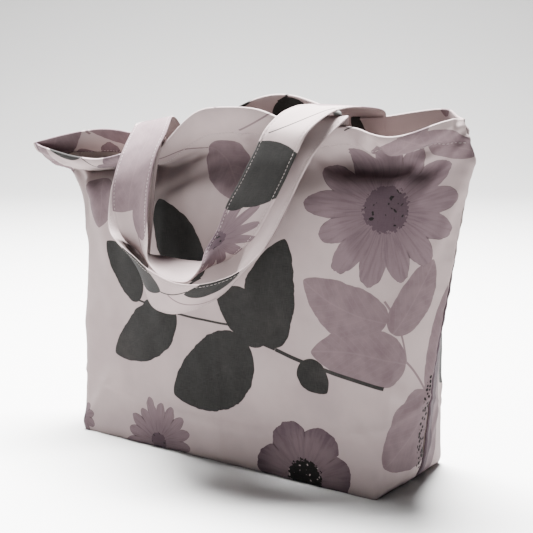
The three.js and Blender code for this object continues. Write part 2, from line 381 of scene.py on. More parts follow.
class Sheets:
    """Grids of points in millimetres, gathered into one mesh."""

    def __init__(self):
        self.points = []
        self.faces = []
        self.uvs = []
        self.kinds = []
        self.count = 0

    def grid(self, points, uv, kind=0):
        """points is (rows, columns, 3) and uv is (rows, columns, 2) in millimetres."""
        rows, columns = points.shape[:2]
        index = self.count + np.arange(rows * columns).reshape(rows, columns)
        corners = (index[:-1, :-1], index[:-1, 1:], index[1:, 1:], index[1:, :-1])
        quads = np.stack([corner.ravel() for corner in corners], axis=-1)
        flat = uv.reshape(-1, 2) * MM
        self.points.append(points.reshape(-1, 3))
        self.faces.append(quads)
        self.uvs.append(flat[quads - self.count].reshape(-1, 2))
        self.kinds.append(np.full(len(quads), kind))
        self.count += rows * columns

    def build(self, name, materials):
        mesh = bpy.data.meshes.new(name)
        vertices = np.concatenate(self.points) * MM
        mesh.from_pydata([tuple(p) for p in vertices], [], np.concatenate(self.faces).tolist())
        layer = mesh.uv_layers.new(name=PRINT_MAP)
        layer.data.foreach_set("uv", np.concatenate(self.uvs).astype(np.float32).ravel())
        for material in materials:
            mesh.materials.append(material)
        kinds = np.concatenate(self.kinds).astype(np.int32)
        mesh.polygons.foreach_set("material_index", kinds)
        mesh.polygons.foreach_set("use_smooth", np.ones(len(kinds), bool))
        mesh.update()
        mesh.validate()
        weld(mesh)
        return add_object(name, mesh)


# ---- shader helpers

class Graph:
    """Short names for making shader nodes in a tree."""

    def __init__(self, tree):
        self.tree = tree
        self.nodes = tree.nodes
        self.links = tree.links

    def node(self, kind, **settings):
        node = self.nodes.new(kind)
        for name, value in settings.items():
            setattr(node, name, value)
        return node

    def put(self, socket, value):
        if isinstance(value, bpy.types.NodeSocket):
            self.links.new(value, socket)
        else:
            socket.default_value = value

    def feed(self, node, values):
        for socket, value in zip(node.inputs, values):
            self.put(socket, value)
        return node.outputs[0]

    def math(self, operation, *values, clamp=False):
        node = self.node("ShaderNodeMath", operation=operation, use_clamp=clamp)
        return self.feed(node, values)

    def times(self, first, *others):
        for other in others:
            first = self.math("MULTIPLY", first, other)
        return first

    def minus(self, a, b):
        return self.math("SUBTRACT", a, b)

    def larger(self, a, b):
        return self.math("MAXIMUM", a, b)

    def scaled(self, value, factor, added):
        return self.math("MULTIPLY_ADD", value, factor, added)

    def vector(self, operation, *values):
        node = self.node("ShaderNodeVectorMath", operation=operation)
        first = self.feed(node, values)
        return node.outputs[1] if operation == "LENGTH" else first

    def split(self, value):
        node = self.node("ShaderNodeSeparateXYZ")
        self.put(node.inputs[0], value)
        return node.outputs

    def join(self, x, y, z=0.0):
        return self.feed(self.node("ShaderNodeCombineXYZ"), (x, y, z))

    def noise(self, place, scale, detail=2.0, roughness=0.5):
        node = self.node("ShaderNodeTexNoise")
        self.put(node.inputs["Vector"], place)
        for label, value in (("Scale", scale), ("Detail", detail), ("Roughness", roughness)):
            node.inputs[label].default_value = value
        return node.outputs["Fac"]

    def mix(self, share, a, b):
        node = self.node("ShaderNodeMix", data_type="RGBA")
        self.put(node.inputs[0], share)
        self.put(node.inputs[6], a)
        self.put(node.inputs[7], b)
        return node.outputs[2]

    def ramp(self, value, low, high):
        """0 below low and 1 above high, smooth between them."""
        node = self.node("ShaderNodeMapRange", interpolation_type="SMOOTHSTEP")
        return self.feed(node, (value, low, high))


def new_group(name, inputs, outputs):
    tree = bpy.data.node_groups.new(name, "ShaderNodeTree")
    for label, kind, value in inputs:
        socket = tree.interface.new_socket(label, in_out="INPUT", socket_type=kind)
        if value is not None:
            socket.default_value = value
    for label, kind in outputs:
        tree.interface.new_socket(label, in_out="OUTPUT", socket_type=kind)
    graph = Graph(tree)
    return graph, graph.node("NodeGroupInput").outputs, graph.node("NodeGroupOutput").inputs


def place_group(graph, group, **inputs):
    node = graph.node("ShaderNodeGroup", node_tree=group)
    for label, value in inputs.items():
        graph.put(node.inputs[label.replace("_", " ")], value)
    return node.outputs


VECTOR = "NodeSocketVector"
FLOAT = "NodeSocketFloat"
COLOR = "NodeSocketColor"

# ---- the printed pattern

# In metres: the size after which the print repeats, how soft a printed edge is, and where
# a drawn line fades out on each side of its middle.
REPEAT = (0.44, 0.36)
EDGE = 0.0005
LINE_EDGES = (0.0002, 0.0009)


def local_place(graph, place, centre, turn):
    """The place seen from a motif's centre, in the repeat that is nearest, turned back."""
    away = graph.vector("SUBTRACT", place, centre)
    half = (REPEAT[0] / 2, REPEAT[1] / 2, 1)
    back = tuple(-x for x in half)
    wrapped = graph.vector("WRAP", away, half, back)
    node = graph.node("ShaderNodeVectorRotate", rotation_type="Z_AXIS")
    graph.put(node.inputs["Vector"], wrapped)
    graph.put(node.inputs["Angle"], graph.times(turn, -1.0))
    return node.outputs[0]


def make_bow_group(name, outputs):
    """The start of a group for a motif along its turned X axis, bent like a bow. Also gives
    how far along it a place is, in metres and as a share, the height of the bow there as a
    share of its bend, and the distance from the bow."""
    inputs = [("Place", VECTOR, None), ("Base", VECTOR, None)]
    inputs += [(label, FLOAT, 0.0) for label in ("Turn", "Length", "Width", "Bend")]
    graph, given, result = new_group(name, inputs, outputs)
    x, y, _ = graph.split(local_place(graph, given["Place"], given["Base"], given["Turn"]))
    share = graph.math("DIVIDE", x, given["Length"])
    arch = graph.times(share, graph.minus(1.0, share), 4.0)
    aside = graph.math("ABSOLUTE", graph.minus(y, graph.times(arch, given["Bend"])))
    return graph, given, result, (x, share, arch, aside)


# A leaf's outline: how fast it widens at the stalk and narrows at the tip, its fullness,
# and how ragged it is. Its side veins: how far they lean, and how close they are.
LEAF_STALK = 0.5
LEAF_TIP = 0.72
LEAF_FULLNESS = 1.16
LEAF_RAGGED = 0.22
VEIN_LEAN = -1.3
VEIN_TURNS = 900.0


def make_leaf_group():
    """A leaf from its stalk end to its tip. Gives its mask and its veins."""
    outputs = (("Mask", FLOAT), ("Vein", FLOAT))
    graph, given, result, (x, share, arch, aside) = make_bow_group("leaf", outputs)
    rest = graph.minus(1.0, share)
    wobble = graph.scaled(graph.noise(given["Place"], 90.0), LEAF_RAGGED, 0.9)
    rounded = graph.math("POWER", graph.larger(share, 0.0), LEAF_STALK)
    pointed = graph.math("POWER", graph.larger(rest, 0.0), LEAF_TIP)
    half = graph.times(rounded, pointed, given["Width"], LEAF_FULLNESS, wobble)
    inside = graph.ramp(graph.minus(half, aside), 0.0, EDGE)
    graph.put(result["Mask"], graph.times(inside, graph.ramp(arch, 0.0, 0.02)))
    rib = graph.minus(1.0, graph.ramp(aside, *LINE_EDGES))
    side = graph.math("SINE", graph.times(graph.scaled(aside, VEIN_LEAN, x), VEIN_TURNS))
    side = graph.times(graph.ramp(side, 0.75, 1.0), 0.5)
    graph.put(result["Vein"], graph.larger(rib, side))
    return graph.tree


def make_stem_group():
    """A thin stem from one point to another."""
    graph, given, result, (_, _, arch, aside) = make_bow_group("stem", (("Mask", FLOAT),))
    half = graph.times(given["Width"], 0.5)
    line = graph.ramp(graph.minus(half, aside), -EDGE / 2, EDGE / 2)
    graph.put(result["Mask"], graph.times(line, graph.ramp(arch, 0.0, 0.01)))
    return graph.tree


# How unequal a flower's petals are, how ragged, and how blunt at the tip.
PETAL_SPREAD = 0.2
PETAL_RAGGED = 0.14
PETAL_BLUNT = 6.0


def make_flower_group():
    """A flower round its centre, with finger-shaped petals. Gives masks of its petals, of
    its core and of the ink line round each petal, a streak along each petal, and how far
    out a place is as a share of the radius."""
    measures = ("Turn", "Radius", "Core", "Petals", "Petal Width")
    inputs = [("Place", VECTOR, None), ("Centre", VECTOR, None)]
    inputs += [(label, FLOAT, 0.0) for label in measures]
    outputs = [(label, FLOAT) for label in ("Petals", "Core", "Line", "Streak", "Out")]
    graph, given, result = new_group("flower", inputs, outputs)
    local = local_place(graph, given["Place"], given["Centre"], given["Turn"])
    x, y, _ = graph.split(local)
    away = graph.vector("LENGTH", local)
    angle = graph.math("DIVIDE", graph.math("ARCTAN2", y, x), 2 * math.pi)
    petal = graph.times(graph.math("ADD", angle, 0.5), given["Petals"])
    number = graph.math("FLOOR", petal)
    chance = graph.node("ShaderNodeTexWhiteNoise", noise_dimensions="2D")
    graph.put(chance.inputs["Vector"], graph.join(number, given["Petals"]))
    off_middle = graph.math("ABSOLUTE", graph.minus(graph.minus(petal, number), 0.5))
    turn = graph.math("DIVIDE", 2 * math.pi, given["Petals"])
    aside = graph.times(away, graph.math("SINE", graph.times(off_middle, turn)))
    edge_turn = graph.times(graph.minus(0.5, off_middle), turn)
    to_next = graph.times(away, graph.math("SINE", edge_turn))
    reach = graph.scaled(chance.outputs["Value"], -PETAL_SPREAD, 1.0)
    ragged = graph.scaled(graph.noise(given["Place"], 120.0), PETAL_RAGGED, 1 - PETAL_RAGGED / 2)
    reach = graph.times(reach, ragged, given["Radius"])
    share = graph.math("DIVIDE", away, reach)
    left = graph.minus(1.0, graph.math("POWER", share, PETAL_BLUNT))
    full = graph.math("POWER", graph.larger(left, 0.0), 0.5)
    half = graph.times(full, given["Petal Width"], 0.5)
    inside = graph.minus(half, aside)
    petals = graph.ramp(inside, 0.0, EDGE)
    graph.put(result["Petals"], petals)
    to_edge = graph.math("MINIMUM", inside, to_next)
    border = graph.minus(1.0, graph.ramp(to_edge, *LINE_EDGES))
    broken = graph.ramp(graph.noise(given["Place"], 60.0), 0.42, 0.58)
    outer = graph.times(broken, graph.ramp(share, 0.5, 0.85))
    graph.put(result["Line"], graph.times(border, outer, petals))
    spikes = graph.scaled(graph.noise(given["Place"], 420.0, 1.0), 0.5, 0.75)
    core_rim = graph.times(given["Core"], spikes)
    graph.put(result["Core"], graph.ramp(graph.minus(core_rim, away), 0.0, EDGE))
    fine = graph.join(graph.times(petal, 5.0), graph.times(away, 30.0))
    graph.put(result["Streak"], graph.noise(fine, 1.6, 2.0))
    graph.put(result["Out"], graph.math("DIVIDE", away, given["Radius"]))
    return graph.tree


LEAF = make_leaf_group()
FLOWER = make_flower_group()
STEM = make_stem_group()


def shade(red, green, blue):
    """A screen colour, 0 to 255, as the linear colour that shaders use."""
    def linear(x):
        x = x / 255
        return x / 12.92 if x <= 0.04045 else ((x + 0.055) / 1.055) ** 2.4
    return (linear(red), linear(green), linear(blue), 1.0)


GROUND = shade(135, 122, 121)
GROUND_DUSK = shade(126, 113, 113)
MAUVE = shade(90, 76, 79)
MAUVE_DARK = shade(81, 67, 71)
PETAL = shade(88, 74, 78)
PETAL_DARK = shade(56, 44, 50)
DARK = shade(24, 24, 23)
DARK_LIGHT = shade(44, 42, 41)
INK = shade(12, 11, 11)

# Motifs of each print, in millimetres. Leaf: stalk end, tip, width, bend. Stem: start, end,
# bend, width. Flower: centre, radius, core, petals, petal width, turn. On the bag the
# places are x from the front centre and y up from the base of the flat cloth. Its print
# also has a speckled leaf and a dusky one, one on each side of a side seam. The dusky one
# is print darkened with painted shade, for the shade on that side of the bag.
BAG_PRINT = {
    "mauve_leaves": (
        ((148, 132), (80, 158), 40, 6),
        ((153, 124), (184, 178), 33, -4),
        ((169, 100), (88, 104), 42, -5),
        ((204, 70), (152, 24), 60, 6),
        ((236, 206), (232, 340), 42, 0),
        # Print on the rim's flap, placed as a darker leaf: partly painted shade on the flap, which leans
        # out and faces down.
        ((206, 258), (150, 288), 26, 3),
        ((128, 262), (168, 292), 20, -2),
        ((-20, 256), (27, 214), 34, 4),
        ((-138, 226), (-134, 178), 34, 3),
        ((-186, 150), (-176, 84), 18, 0),
        ((-96, 318), (-40, 300), 34, 3),
        ((60, 300), (100, 330), 34, -3),
        ((205, 58), (201, 158), 24, 0),
    ),
    "mauve_stems": (
        ((145, 148), (169, 102), 3, 1.8),
        ((169, 102), (204, 62), 3, 1.8),
        ((-20, 256), (-96, 320), 5, 1.3),
        ((60, 300), (20, 270), 4, 1.3),
    ),
    "dark_leaves": (
        ((54, 103), (64, 188), 44, 8),
        ((50, 107), (2, 142), 40, -4),
        ((33, 102), (-43, 50), 58, 5),
        ((-43, 124), (-111, 74), 44, 4),
        ((-82, 123), (-124, 168), 30, -4),
        ((-14, 150), (-62, 210), 44, 3),
        ((80, 95), (103, 74), 24, 0),
        # Print on the hem's facing in the flopped left corner, made dark as painted shade of the
        # corner's shaded inside.
        ((-150, 290), (-190, 330), 40, 3),
        ((150, 300), (196, 330), 42, 4),
    ),
    "dark_stems": (
        ((-84, 123), (14, 116), -2, 1.8),
        ((14, 116), (57, 102), -1, 2.4),
        ((57, 102), (149, 84), -2, 3.0),
        ((-43, 124), (-14, 150), 3, 1.6),
        ((-168, 96), (-164, 66), 1, 1.4),
        ((-150, 290), (-120, 250), 4, 1.4),
        ((150, 300), (110, 286), -4, 1.4),
    ),
    "pale_flowers": (
        ((141, 214), 64, 17, 13, 22, 0.2),
        ((-61, 6), 39, 8, 17, 12, 0.0),
        ((-151, 12), 17, 5, 9, 9, 0.3),
        ((0, 322), 36, 9, 13, 14, 0.5),
    ),
    "dark_flowers": (
        ((86, 4), 48, 16, 7, 41, 0.25),
        ((-110, 266), 32, 9, 7, 24, 0.1),
    ),
    "speckled": ((199, 10), (200, 92), 15, 0),
    # The dusky leaf is print darkened with painted shade, for the shaded right side of the bag.
    "dusky_leaf_with_painted_shade": ((-218, -150), (-216, 120), 38, 0),
}
# On a handle the places are x from its rear edge's side, -20, to its front edge's side, 20,
# and y along it from its left sewn end.
BACK_HANDLE_PRINT = {
    "mauve_leaves": (((-2, 152), (2, 52), 84, 3), ((12, 176), (16, 130), 18, -2),
                     ((-30, 240), (4, 206), 26, 3)),
    "mauve_stems": (((6, 168), (16, 200), 2, 1.3),),
    "dark_leaves": (((-6, 366), (4, 312), 66, 4), ((6, 310), (30, 352), 34, 2)),
    "dark_stems": (((14, 372), (-16, 408), 5, 1.2),),
    "pale_flowers": (((15, 282), 44, 9, 15, 10, 0.1),),
}
FRONT_HANDLE_PRINT = {
    "mauve_leaves": (((20, 310), (-8, 250), 36, 4), ((-26, 292), (-4, 330), 24, 3)),
    "mauve_stems": (((4, 180), (-14, 226), 3, 1.3),),
    "dark_leaves": (((-18, 122), (-14, 50), 26, 0), ((18, 122), (4, 172), 30, 3),
                    ((22, 236), (8, 194), 26, -3)),
    "dark_stems": (((4, 172), (12, 196), 2, 1.3),),
}


def spot(place):
    """A place on the flat cloth in metres, as shaders take it."""
    return (place[0] * MM, place[1] * MM, 0)


def apart(start, end):
    """The distance between two places in metres, and the way from one to the other."""
    dx = end[0] - start[0]
    dy = end[1] - start[1]
    return math.hypot(dx, dy) * MM, math.atan2(dy, dx)


def strips(graph, place, group, rows):
    """Leaves or stems in one colour. Gives their joint mask and the veins in it."""
    mask = 0.0
    vein = 0.0
    for start, end, *rest in rows:
        length, turn = apart(start, end)
        width, bend = rest if group is LEAF else (rest[1], rest[0])
        out = place_group(
            graph, group, Place=place, Base=spot(start), Turn=turn, Length=length,
            Width=width * MM, Bend=bend * MM,
        )
        if group is LEAF:
            vein = graph.larger(vein, graph.times(out["Vein"], out["Mask"]))
        mask = graph.larger(mask, out["Mask"])
    return mask, vein


def petal_layer(graph, place, color, row, dark):
    """A flower printed over a colour."""
    centre, radius, core, petals, width, turn = row
    out = place_group(
        graph, FLOWER, Place=place, Centre=spot(centre), Turn=turn, Radius=radius * MM,
        Core=core * MM, Petals=float(petals), Petal_Width=width * MM,
    )
    streak = graph.ramp(out["Streak"], 0.42, 0.68)
    tip = graph.ramp(out["Out"], 0.5, 0.95) if dark else graph.ramp(out["Out"], 0.7, 0.2)
    strong = 0.75 if dark else 0.3
    deep = graph.math("MULTIPLY_ADD", tip, strong, graph.times(streak, 0.3), clamp=True)
    petal = graph.mix(deep, PETAL, PETAL_DARK)
    petal = graph.mix(graph.times(out["Line"], 0.8), petal, INK)
    color = graph.mix(out["Petals"], color, petal)
    dots = graph.noise(place, 300.0 if dark else 240.0, 1.0)
    most = INK if dark else PETAL_DARK
    heart = graph.mix(graph.ramp(dots, 0.36, 0.3), most, GROUND if dark else INK)
    return graph.mix(out["Core"], color, heart)


def make_print_group(name, motifs):
    """A printed pattern: colour for a place on the flat cloth, in metres."""
    graph, given, result = new_group(name, (("Place", VECTOR, None),), (("Color", COLOR),))
    place = given["Place"]
    cloudy = graph.noise(place, 22.0, 3.0)
    mottled = graph.noise(place, 95.0, 3.0)
    color = graph.mix(graph.ramp(cloudy, 0.35, 0.7), GROUND, GROUND_DUSK)

    def plant(color, kind, plain, leaf, vein_color):
        """Stems in a plain colour, then leaves with a few veins, over a colour."""
        mask, _ = strips(graph, place, STEM, motifs[kind + "_stems"])
        color = graph.mix(mask, color, plain)
        mask, vein = strips(graph, place, LEAF, motifs[kind + "_leaves"])
        return graph.mix(mask, color, graph.mix(graph.times(vein, 0.1), leaf, vein_color))

    leaf = graph.mix(graph.ramp(mottled, 0.3, 0.75), MAUVE, MAUVE_DARK)
    color = plant(color, "mauve", MAUVE, leaf, GROUND_DUSK)
    for kind in ("pale", "dark"):
        for row in motifs.get(kind + "_flowers", ()):
            color = petal_layer(graph, place, color, row, dark=kind == "dark")
    leaf = graph.mix(graph.times(graph.ramp(mottled, 0.35, 0.8), 0.4), DARK, INK)
    color = plant(color, "dark", DARK, leaf, DARK_LIGHT)

    if "speckled" in motifs:
        # The leaf by the seam takes the dark petal colour: print, and painted shade of the bag's shaded
        # side.
        mask, _ = strips(graph, place, LEAF, (motifs["dusky_leaf_with_painted_shade"],))
        color = graph.mix(mask, color, PETAL_DARK)
        speckle = graph.node("ShaderNodeTexVoronoi", feature="F1")
        graph.put(speckle.inputs["Vector"], place)
        speckle.inputs["Scale"].default_value = 330.0
        dots = graph.minus(1.0, graph.ramp(speckle.outputs["Distance"], 0.4, 0.5))
        mask, _ = strips(graph, place, LEAF, (motifs["speckled"],))
        color = graph.mix(graph.times(dots, mask), color, INK)
    graph.put(result["Color"], color)
    return graph.tree


PRINT = make_print_group("print", BAG_PRINT)
FRONT_HANDLE = make_print_group("front_handle_print", FRONT_HANDLE_PRINT)
BACK_HANDLE = make_print_group("back_handle_print", BACK_HANDLE_PRINT)

# ---- cloth materials

# In metres: the width of a thread of the cloth, and how deep its weave and the twist of
# the sewing thread are. Then how long and how close slubs are, and how close the twist is.
THREAD = 0.00052
WEAVE_DEPTH = 0.00012
TWIST_DEPTH = 0.0001
SLUB_STRETCH = 14.0
SLUB_SCALE = 160.0
TWIST_TURNS = 9000.0
REVERSE_COLOR = shade(140, 132, 127)
REVERSE_SHARE = 0.62
FUZZ_COLOR = shade(226, 216, 214)
WORN_COLOR = shade(120, 110, 108)


def new_material(name):
    """A material, its graph, its shader's inputs, and the place on the flat cloth."""
    material = bpy.data.materials.new(name)
    material.use_nodes = True
    graph = Graph(material.node_tree)
    place = graph.node("ShaderNodeUVMap", uv_map=PRINT_MAP).outputs[0]
    return material, graph, graph.nodes["Principled BSDF"].inputs, place


def set_looks(graph, shader, height, depth, strength, **looks):
    """Gives a shader its values, and a fine relief of a depth in metres."""
    bumped = graph.node("ShaderNodeBump")
    bumped.inputs["Strength"].default_value = strength
    bumped.inputs["Distance"].default_value = depth
    graph.put(bumped.inputs["Height"], height)
    graph.put(shader["Normal"], bumped.outputs[0])
    for label, value in looks.items():
        graph.put(shader[label.replace("_", " ")], value)


def weave(graph, place):
    """The threads of a plain weave, over and under, 0 to 1, and its slubs, 0 to 2."""
    x, y, _ = graph.split(place)
    warp, weft = (graph.math("SINE", graph.times(way, math.pi / THREAD)) for way in (x, y))
    cross = graph.scaled(graph.times(warp, weft), 0.5, 0.5)
    slubs = 0.0
    for stretch in ((1.0, SLUB_STRETCH, 1.0), (SLUB_STRETCH, 1.0, 1.0)):
        slub = graph.noise(graph.vector("MULTIPLY", place, stretch), SLUB_SCALE, 1.0)
        slubs = graph.math("ADD", slubs, slub)
    return cross, slubs


def cloth_material(name, pattern, offset=(0, 0), reverse=False):
    """Printed cotton. offset moves the pattern on this piece, and a reverse side shows the
    print through the cloth."""
    material, graph, shader, place = new_material(name)
    cross, slubs = weave(graph, place)
    moved = graph.vector("ADD", place, spot(offset))
    color = place_group(graph, pattern, Place=moved)["Color"]
    if reverse:
        color = graph.mix(REVERSE_SHARE, color, REVERSE_COLOR)
    fuzz = graph.ramp(slubs, 0.75, 1.25)
    color = graph.mix(graph.times(fuzz, 0.01), color, FUZZ_COLOR)
    worn = graph.ramp(graph.noise(place, 9.0, 4.0, 0.6), 0.5, 0.8)
    color = graph.mix(graph.times(worn, 0.1), color, WORN_COLOR)
    set_looks(
        graph, shader, graph.scaled(slubs, 0.5, cross), WEAVE_DEPTH, 0.5, Base_Color=color,
        Roughness=graph.scaled(fuzz, 0.12, 0.8), Specular_IOR_Level=0.1, Sheen_Weight=0.02,
        Sheen_Roughness=0.5,
    )
    return material


def thread_material(name, color):
    """Twisted sewing thread."""
    material, graph, shader, place = new_material(name)
    x, y, _ = graph.split(place)
    ply = graph.math("SINE", graph.times(graph.math("ADD", x, y), TWIST_TURNS))
    low = tuple(0.8 * c for c in color[:3]) + (1.0,)
    tone = graph.mix(graph.ramp(ply, -1.0, 1.0), color, low)
    set_looks(graph, shader, ply, TWIST_DEPTH, 1.0, Base_Color=tone, Roughness=0.6, Sheen_Weight=0.2)
    return material


THREAD_COLOR = shade(132, 120, 119)
stitch_thread = thread_material("stitch_thread", THREAD_COLOR)
panel_materials = {
    middle: (
        cloth_material(side + "_print", PRINT, offset),
        cloth_material(side + "_reverse", PRINT, offset, reverse=True),
    )
    for middle, side, offset in ((0, "front", (0, 0)), (2, "back", (-14, -146)))
}

# ---- panels with their hems

OUTSIDE = 0
REVERSE = 1
PANEL_COLUMNS = 176
PANEL_ROWS = 82
HEM_ROWS = 12
BASE_ROWS = 14


def panel_arounds(middle):
    """Columns of points from seam to seam, close together by the seams."""
    wall = np.linspace(-0.975, 0.975, PANEL_COLUMNS)
    by_seam = np.array([0.982, 0.987, 0.991, 0.994, 1 - SEAM_GAP / 2 / HALF_ROUND])
    return middle + np.concatenate([-by_seam[::-1], wall, by_seam])


def panel_profile():
    """Up, depth and distance along the cloth, for two lists of rows. The first goes up the
    outer face, over the rim and down the hem. The second goes down the reverse side. Both
    sides have rows at the same heights, so that they close on each other at a seam."""
    radius = HEM_BACK / 2
    brim = CLOTH_HEIGHT - radius
    below = HEM_FOOT - 0.5
    foot = [0, 0.6, CLOTH, 2, 3, 4.5, 6.5, 9]
    wall = foot + list(np.linspace(12, below, PANEL_ROWS))
    band = list(np.linspace(HEM_FOOT, brim, HEM_ROWS))
    outer = [(up, 0.0, up) for up in wall + band]
    turn = np.linspace(0, math.pi, 9)[1:-1]
    rolled = [(brim + radius * math.sin(a), radius * (1 - math.cos(a)), brim + radius * a) for a in turn]
    facing = [(up, HEM_BACK, CLOTH_HEIGHT * 2 - up) for up in band[::-1]]
    reverse = [(HEM_FOOT, HEM_BACK, HEM_FOOT), (HEM_FOOT, CLOTH, HEM_FOOT)]
    reverse += [(up, CLOTH, up) for up in wall[::-1] if up >= CLOTH]
    return outer + rolled + facing, reverse


def rows_of(middle, arounds, profile):
    """Points of a panel and their places on the flat cloth, one row for each profile row."""
    up, depth, along = np.array(profile).T[:, :, None]
    around, up, depth, along = np.broadcast_arrays(arounds[None], up, depth, along)
    points = cloth_point(middle, around, up, depth)
    points[up == 0, 2] = 0
    return points, np.stack([(around - middle) * HALF_ROUND, along], axis=-1)


def base_rows(middle, ring, height):
    """The panel's half of the base, from the foot of its wall to the base seam."""
    count = ring.shape[0]
    side = 1 if middle else -1
    seam = np.zeros((count, 3))
    seam[:, 0] = np.linspace(ring[0, 0], ring[-1, 0], count)
    seam[:, 1] = BASE_SEAM_Y + side * SEAM_GAP / 2
    seam[:, 2] = height
    share = np.linspace(0, 1, BASE_ROWS)[:, None, None]
    rows = ring[None] * (1 - share) + seam[None] * share
    rows[1:, :, 2] = height
    return rows


def make_panel(middle, name, replaced):
    """A panel with both its faces, its hem and its half of the base."""
    arounds = panel_arounds(middle)
    outer_rows, reverse_rows = panel_profile()
    outer, outer_uv = rows_of(middle, arounds, outer_rows)
    inner, inner_uv = rows_of(middle, arounds, reverse_rows)
    inner[-1, :, 2] = CLOTH
    under = base_rows(middle, outer[0], 0.0)
    over = base_rows(middle, inner[-1], CLOTH)

    def base_uv(rows, ring_uv):
        gone = np.linalg.norm(rows - rows[:1], axis=-1)
        return np.stack([rows[..., 0] * 0 + ring_uv[None, :, 0], -gone], axis=-1)

    sheets = Sheets()
    sheets.grid(under[::-1], base_uv(under, outer_uv[0])[::-1], OUTSIDE)
    sheets.grid(outer, outer_uv, OUTSIDE)
    sheets.grid(inner, inner_uv, REVERSE)
    sheets.grid(over, base_uv(over, inner_uv[-1]), REVERSE)
    base_rim = np.stack([over[-1], under[-1]])
    sheets.grid(base_rim, np.stack([inner_uv[-1]] * 2), REVERSE)
    for end in (0, -1):
        edge = np.stack([over[:, end], under[:, end]])
        sheets.grid(edge, np.broadcast_to(inner_uv[-1, end], (2, len(over), 2)), REVERSE)
    panel = sheets.build(name, panel_materials[middle])
    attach(panel, "bag")
    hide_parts(*replaced)
    return panel


front_panel = make_panel(0, "front_panel_cloth", ("front_panel", "front_hem"))
back_panel = make_panel(2, "back_panel_cloth", ("back_panel", "back_hem"))

# ---- stitches

STITCH_LENGTH = 2.3
STITCH_PITCH = 3.1
STITCH_RADIUS = 0.24
STITCH_LIFT = 0.05
STITCHES_END = 6


def ring(around, forward, normal):
    """Directions at angles round a thread that runs forward."""
    aside = np.cross(forward, normal)
    return np.cos(around)[:, None] * aside + np.sin(around)[:, None] * normal


def stitch_row(sheets, points, normals):
    """Stitches along a line of points, one at each point, half sunk in the cloth."""
    around = np.linspace(0, 2 * math.pi, 7)
    along = np.linspace(-1, 1, 5)
    girth = np.sqrt(np.clip(1 - along ** 4, 0.02, 1))
    ahead = np.gradient(points, axis=0)
    ahead /= np.linalg.norm(ahead, axis=-1, keepdims=True)
    for point, forward, normal in zip(points, ahead, normals):
        circle = ring(around, forward, normal)
        middle = point + normal * STITCH_LIFT
        spine = middle + along[:, None] * forward * STITCH_LENGTH / 2
        tube = spine[:, None] + girth[:, None, None] * circle[None] * STITCH_RADIUS
        uv = np.stack(np.meshgrid(around * STITCH_RADIUS, along * STITCH_LENGTH / 2), axis=-1)
        sheets.grid(tube, uv)


def lengths(points):
    """The length along a line of points to each of them."""
    steps = np.linalg.norm(np.diff(points, axis=0), axis=-1)
    return np.concatenate([[0], np.cumsum(steps)])


def resample(points, pitch):
    """Places at even distances along a line of points, as fractions of its index."""
    along = lengths(points)
    count = max(2, int(along[-1] / pitch))
    middle = (np.arange(count) + 0.5) / count * along[-1]
    return np.interp(middle, along, np.arange(len(points)))


def at_index(values, index):
    """Values at fractions of their index."""
    low = np.clip(np.floor(index).astype(int), 0, len(values) - 2)
    share = (index - low)[:, None]
    return values[low] * (1 - share) + values[low + 1] * share


def hem_stitches(middle, name):
    """The row that holds the hem, seen on the outside and on the facing."""
    sheets = Sheets()
    ends = 1 - STITCHES_END / HALF_ROUND
    fine = middle + np.linspace(-ends, ends, 900)
    up = np.full(len(fine), HEM_ROW)
    inner_normal = inward(fine, up)
    for depth, sign in ((0.0, -1), (HEM_BACK, 1)):
        line = cloth_point(middle, fine, up, np.full(len(fine), depth))
        index = resample(line, STITCH_PITCH)
        stitch_row(sheets, at_index(line, index), sign * at_index(inner_normal, index))
    stitches = sheets.build(name, [stitch_thread])
    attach(stitches, "bag")
    return stitches


front_hem_stitches = hem_stitches(0, "front_hem_stitches")
back_hem_stitches = hem_stitches(2, "back_hem_stitches")

# ---- seam edges inside

seam_cloth = cloth_material("seam_cloth", PRINT, (60, 40), reverse=True)
# In millimetres: half the two edges' thickness, the lengths of their waves, the overlock
# thread's measures, and where the side seams' edges start and how far in they stand.
EDGE_HALF = 0.55
EDGE_WAVES = (7.0, 19.0)
OVERLOCK_PITCH = 2.6
OVERLOCK_REACH = 3.2
OVERLOCK_LIP = 0.3
OVERLOCK_HALF = 0.62
OVERLOCK_RADIUS = 0.16
SEAM_FOOT = 10
SEAM_LIFT = 3.4


def edge_strip(line, out, thick, name, node, waviness=0.7):
    """Two raw edges of cloth along a line of points: a strip that stands out from it, with
    an overlocked border. out is one direction for each point, and thick the other."""
    across = np.linspace(0, 1, 9)
    length = lengths(line)
    ripple = waviness * np.sin(length / EDGE_WAVES[0]) * np.sin(length / EDGE_WAVES[1] + 1)
    sheets = Sheets()
    skins = []
    for side in (-1, 1):
        rows = []
        for share in across:
            sway = ripple * share + side * EDGE_HALF * math.sqrt(max(0.0, 1 - share ** 8))
            rows.append(line + out * SEAM_ALLOWANCE * share + thick * sway[:, None])
        skin = np.stack(rows, axis=1)
        skins.append(skin)
        uv = np.stack(np.broadcast_arrays(across[None] * SEAM_ALLOWANCE, length[:, None]), axis=-1)
        sheets.grid(skin[::side], uv[::side])
    strip = sheets.build(name, [seam_cloth])
    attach(strip, "bag")
    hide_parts(node)

    tips = skins[0][:, -1] * 0.5 + skins[1][:, -1] * 0.5
    loops = Sheets()
    for offset in (0.0, 0.5):
        index = resample(tips, OVERLOCK_PITCH) + offset
        index = np.clip(index, 0, len(line) - 1.001)
        start = at_index(tips, index) - at_index(out, index) * OVERLOCK_REACH
        end = at_index(tips, index) + at_index(out, index) * OVERLOCK_LIP
        normal = at_index(thick, index)
        for a, b, n in zip(start, end, normal):
            for side in (-1, 1):
                lift = n * side * OVERLOCK_HALF
                row = np.stack([a + lift, (a + b) / 2 + lift, b])
                stitch_line(loops, row, n * side)
    overlock = loops.build(name + "_overlock", [stitch_thread])
    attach(overlock, "bag")
    return [strip, overlock]


